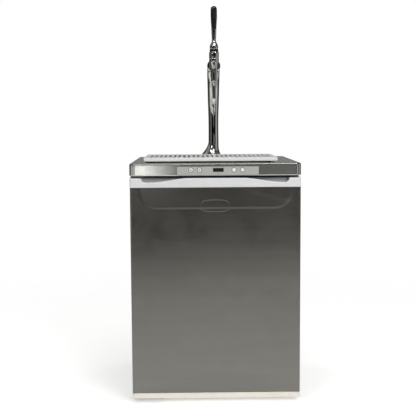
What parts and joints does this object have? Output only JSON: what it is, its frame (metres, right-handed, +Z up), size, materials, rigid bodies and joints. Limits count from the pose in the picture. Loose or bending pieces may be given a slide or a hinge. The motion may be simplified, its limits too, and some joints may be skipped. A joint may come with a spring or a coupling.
{
  "type": "kegerator",
  "caption": "Under-counter beer keg cooler with a hinged door, stainless worktop, drip tray, and a swan-neck chrome tower with a lever tap.",
  "frame": {"origin": "centre of the footprint, on the floor under the feet", "axes": "+Z up, -Y towards the front door, +X to the right seen from the front"},
  "size_m": [0.597, 0.6, 1.4256],
  "materials": {
    "steel_door": "brushed stainless, vertical grain, semi-gloss",
    "steel_worktop": "polished stainless with faint brushing",
    "cabinet_paint": "satin grey coated sheet",
    "zinc_sheet": "zinc-coated sheet, dull",
    "zinc_steel": "zinc-plated steel",
    "foam": "rigid insulating foam, closed cells",
    "liner_plastic": "vacuum-formed white plastic, semi-gloss",
    "gasket_rubber": "soft dark seal",
    "black_rubber": "moulded rubber",
    "handle_plastic": "silver-white satin moulding",
    "cap_plastic": "warm off-white moulding",
    "panel_silver": "silver lacquered plate, satin",
    "display_lens": "dark smoked lens, gloss",
    "button_silver": "satin silver key tops",
    "circuit_board": "solder-masked board",
    "black_plastic": "black moulded plastic",
    "white_plastic": "white moulded plastic",
    "core_board": "pressed wood core, sealed black",
    "tray_steel": "bright satin stainless",
    "chrome": "polished chrome plate",
    "brass": "machined brass",
    "collar_black": "black glossy ball",
    "grip_black": "gloss black lacquer",
    "beer_hose": "milky flexible hose",
    "gas_hose": "red flexible hose",
    "alu_plate": "roll-bonded sheet, dull",
    "compressor_black": "black stove enamel",
    "condenser_black": "black dipped coating",
    "copper": "drawn copper"
  },
  "bodies": {
    "cabinet": {"cabinet_wrap": "cabinet_paint", "face_frame": "cabinet_paint", "back_panel": "zinc_sheet", "cabinet_foam": "foam", "inner_liner": "liner_plastic", "base_pan": "zinc_sheet", "levelling_feet": "black_plastic", "hinge_bracket_top": "zinc_steel", "hinge_bracket_bottom": "zinc_steel", "hinge_pins": "zinc_steel", "worktop": "steel_worktop", "worktop_frame": "core_board", "control_panel": "panel_silver", "display_window": "display_lens", "control_board": "circuit_board", "control_housing": "black_plastic", "tower_gasket": "black_rubber", "tower_flange": "chrome", "tower_neck": "chrome", "tower_backing_plate": "zinc_steel", "tower_studs": "zinc_steel", "head_cap": "chrome", "tap_shank": "chrome", "shank_nut": "brass", "coupling_nut": "chrome", "tap_body": "chrome", "tap_spout": "chrome", "tap_bonnet": "chrome", "line_conduit": "white_plastic", "beer_line": "beer_hose", "gas_line": "gas_hose", "line_disconnects": "black_plastic", "disconnect_clip": "white_plastic", "gas_bulkhead": "zinc_steel", "evaporator_plate": "alu_plate", "compressor": "compressor_black", "compressor_grommets": "black_rubber", "condenser": "condenser_black", "condenser_brackets": "zinc_steel", "refrigerant_lines": "copper", "condensate_pan": "black_plastic", "drain_tube": "white_plastic", "power_inlet": "black_plastic"},
    "door": {"door_panel": "steel_door", "door_foam": "foam", "door_liner": "liner_plastic", "door_gasket": "gasket_rubber", "door_handle": "handle_plastic", "door_bottom_cap": "cap_plastic"},
    "tap_lever": {"lever_ball": "collar_black", "lever_dome": "chrome", "lever_ferrule": "chrome", "lever_grip": "grip_black"},
    "piston": {"tap_piston": "brass"},
    "tray": {"drip_tray": "tray_steel"},
    "grille": {"drip_grille": "tray_steel"},
    "button_left_outer": {"button_left_outer": "button_silver"},
    "button_left_inner": {"button_left_inner": "button_silver"},
    "button_right_inner": {"button_right_inner": "button_silver"},
    "button_right_outer": {"button_right_outer": "button_silver"}
  },
  "joints": [
    {"name": "door_hinge", "type": "hinge", "parent": "cabinet", "child": "door", "pos_m": [-0.288, -0.262, 0.4], "axis": [0, 0, -1], "range_deg": [0, 110]},
    {"name": "lever_pull", "type": "hinge", "parent": "cabinet", "child": "tap_lever", "pos_m": [0.005, 0.025, 1.259], "axis": [1, 0, 0], "range_deg": [0, 30]},
    {"name": "piston_lift", "type": "slide", "parent": "cabinet", "child": "piston", "axis": [0, 0, 1], "range_m": [0, 0.004]},
    {"name": "tray_lift", "type": "slide", "parent": "cabinet", "child": "tray", "axis": [0, 0, 1], "range_m": [0, 0.1]},
    {"name": "grille_lift", "type": "slide", "parent": "tray", "child": "grille", "axis": [0, 0, 1], "range_m": [0, 0.06]},
    {"name": "button_left_outer_press", "type": "slide", "parent": "cabinet", "child": "button_left_outer", "axis": [0, 1, 0], "range_m": [0, 0.001], "stiffness_N_per_m": 900},
    {"name": "button_left_inner_press", "type": "slide", "parent": "cabinet", "child": "button_left_inner", "axis": [0, 1, 0], "range_m": [0, 0.001], "stiffness_N_per_m": 900},
    {"name": "button_right_inner_press", "type": "slide", "parent": "cabinet", "child": "button_right_inner", "axis": [0, 1, 0], "range_m": [0, 0.001], "stiffness_N_per_m": 900},
    {"name": "button_right_outer_press", "type": "slide", "parent": "cabinet", "child": "button_right_outer", "axis": [0, 1, 0], "range_m": [0, 0.001], "stiffness_N_per_m": 900}
  ],
  "couplings": [
    {"joint": "piston_lift", "follows": "lever_pull", "m_per_rad": 0.0076}
  ]
}
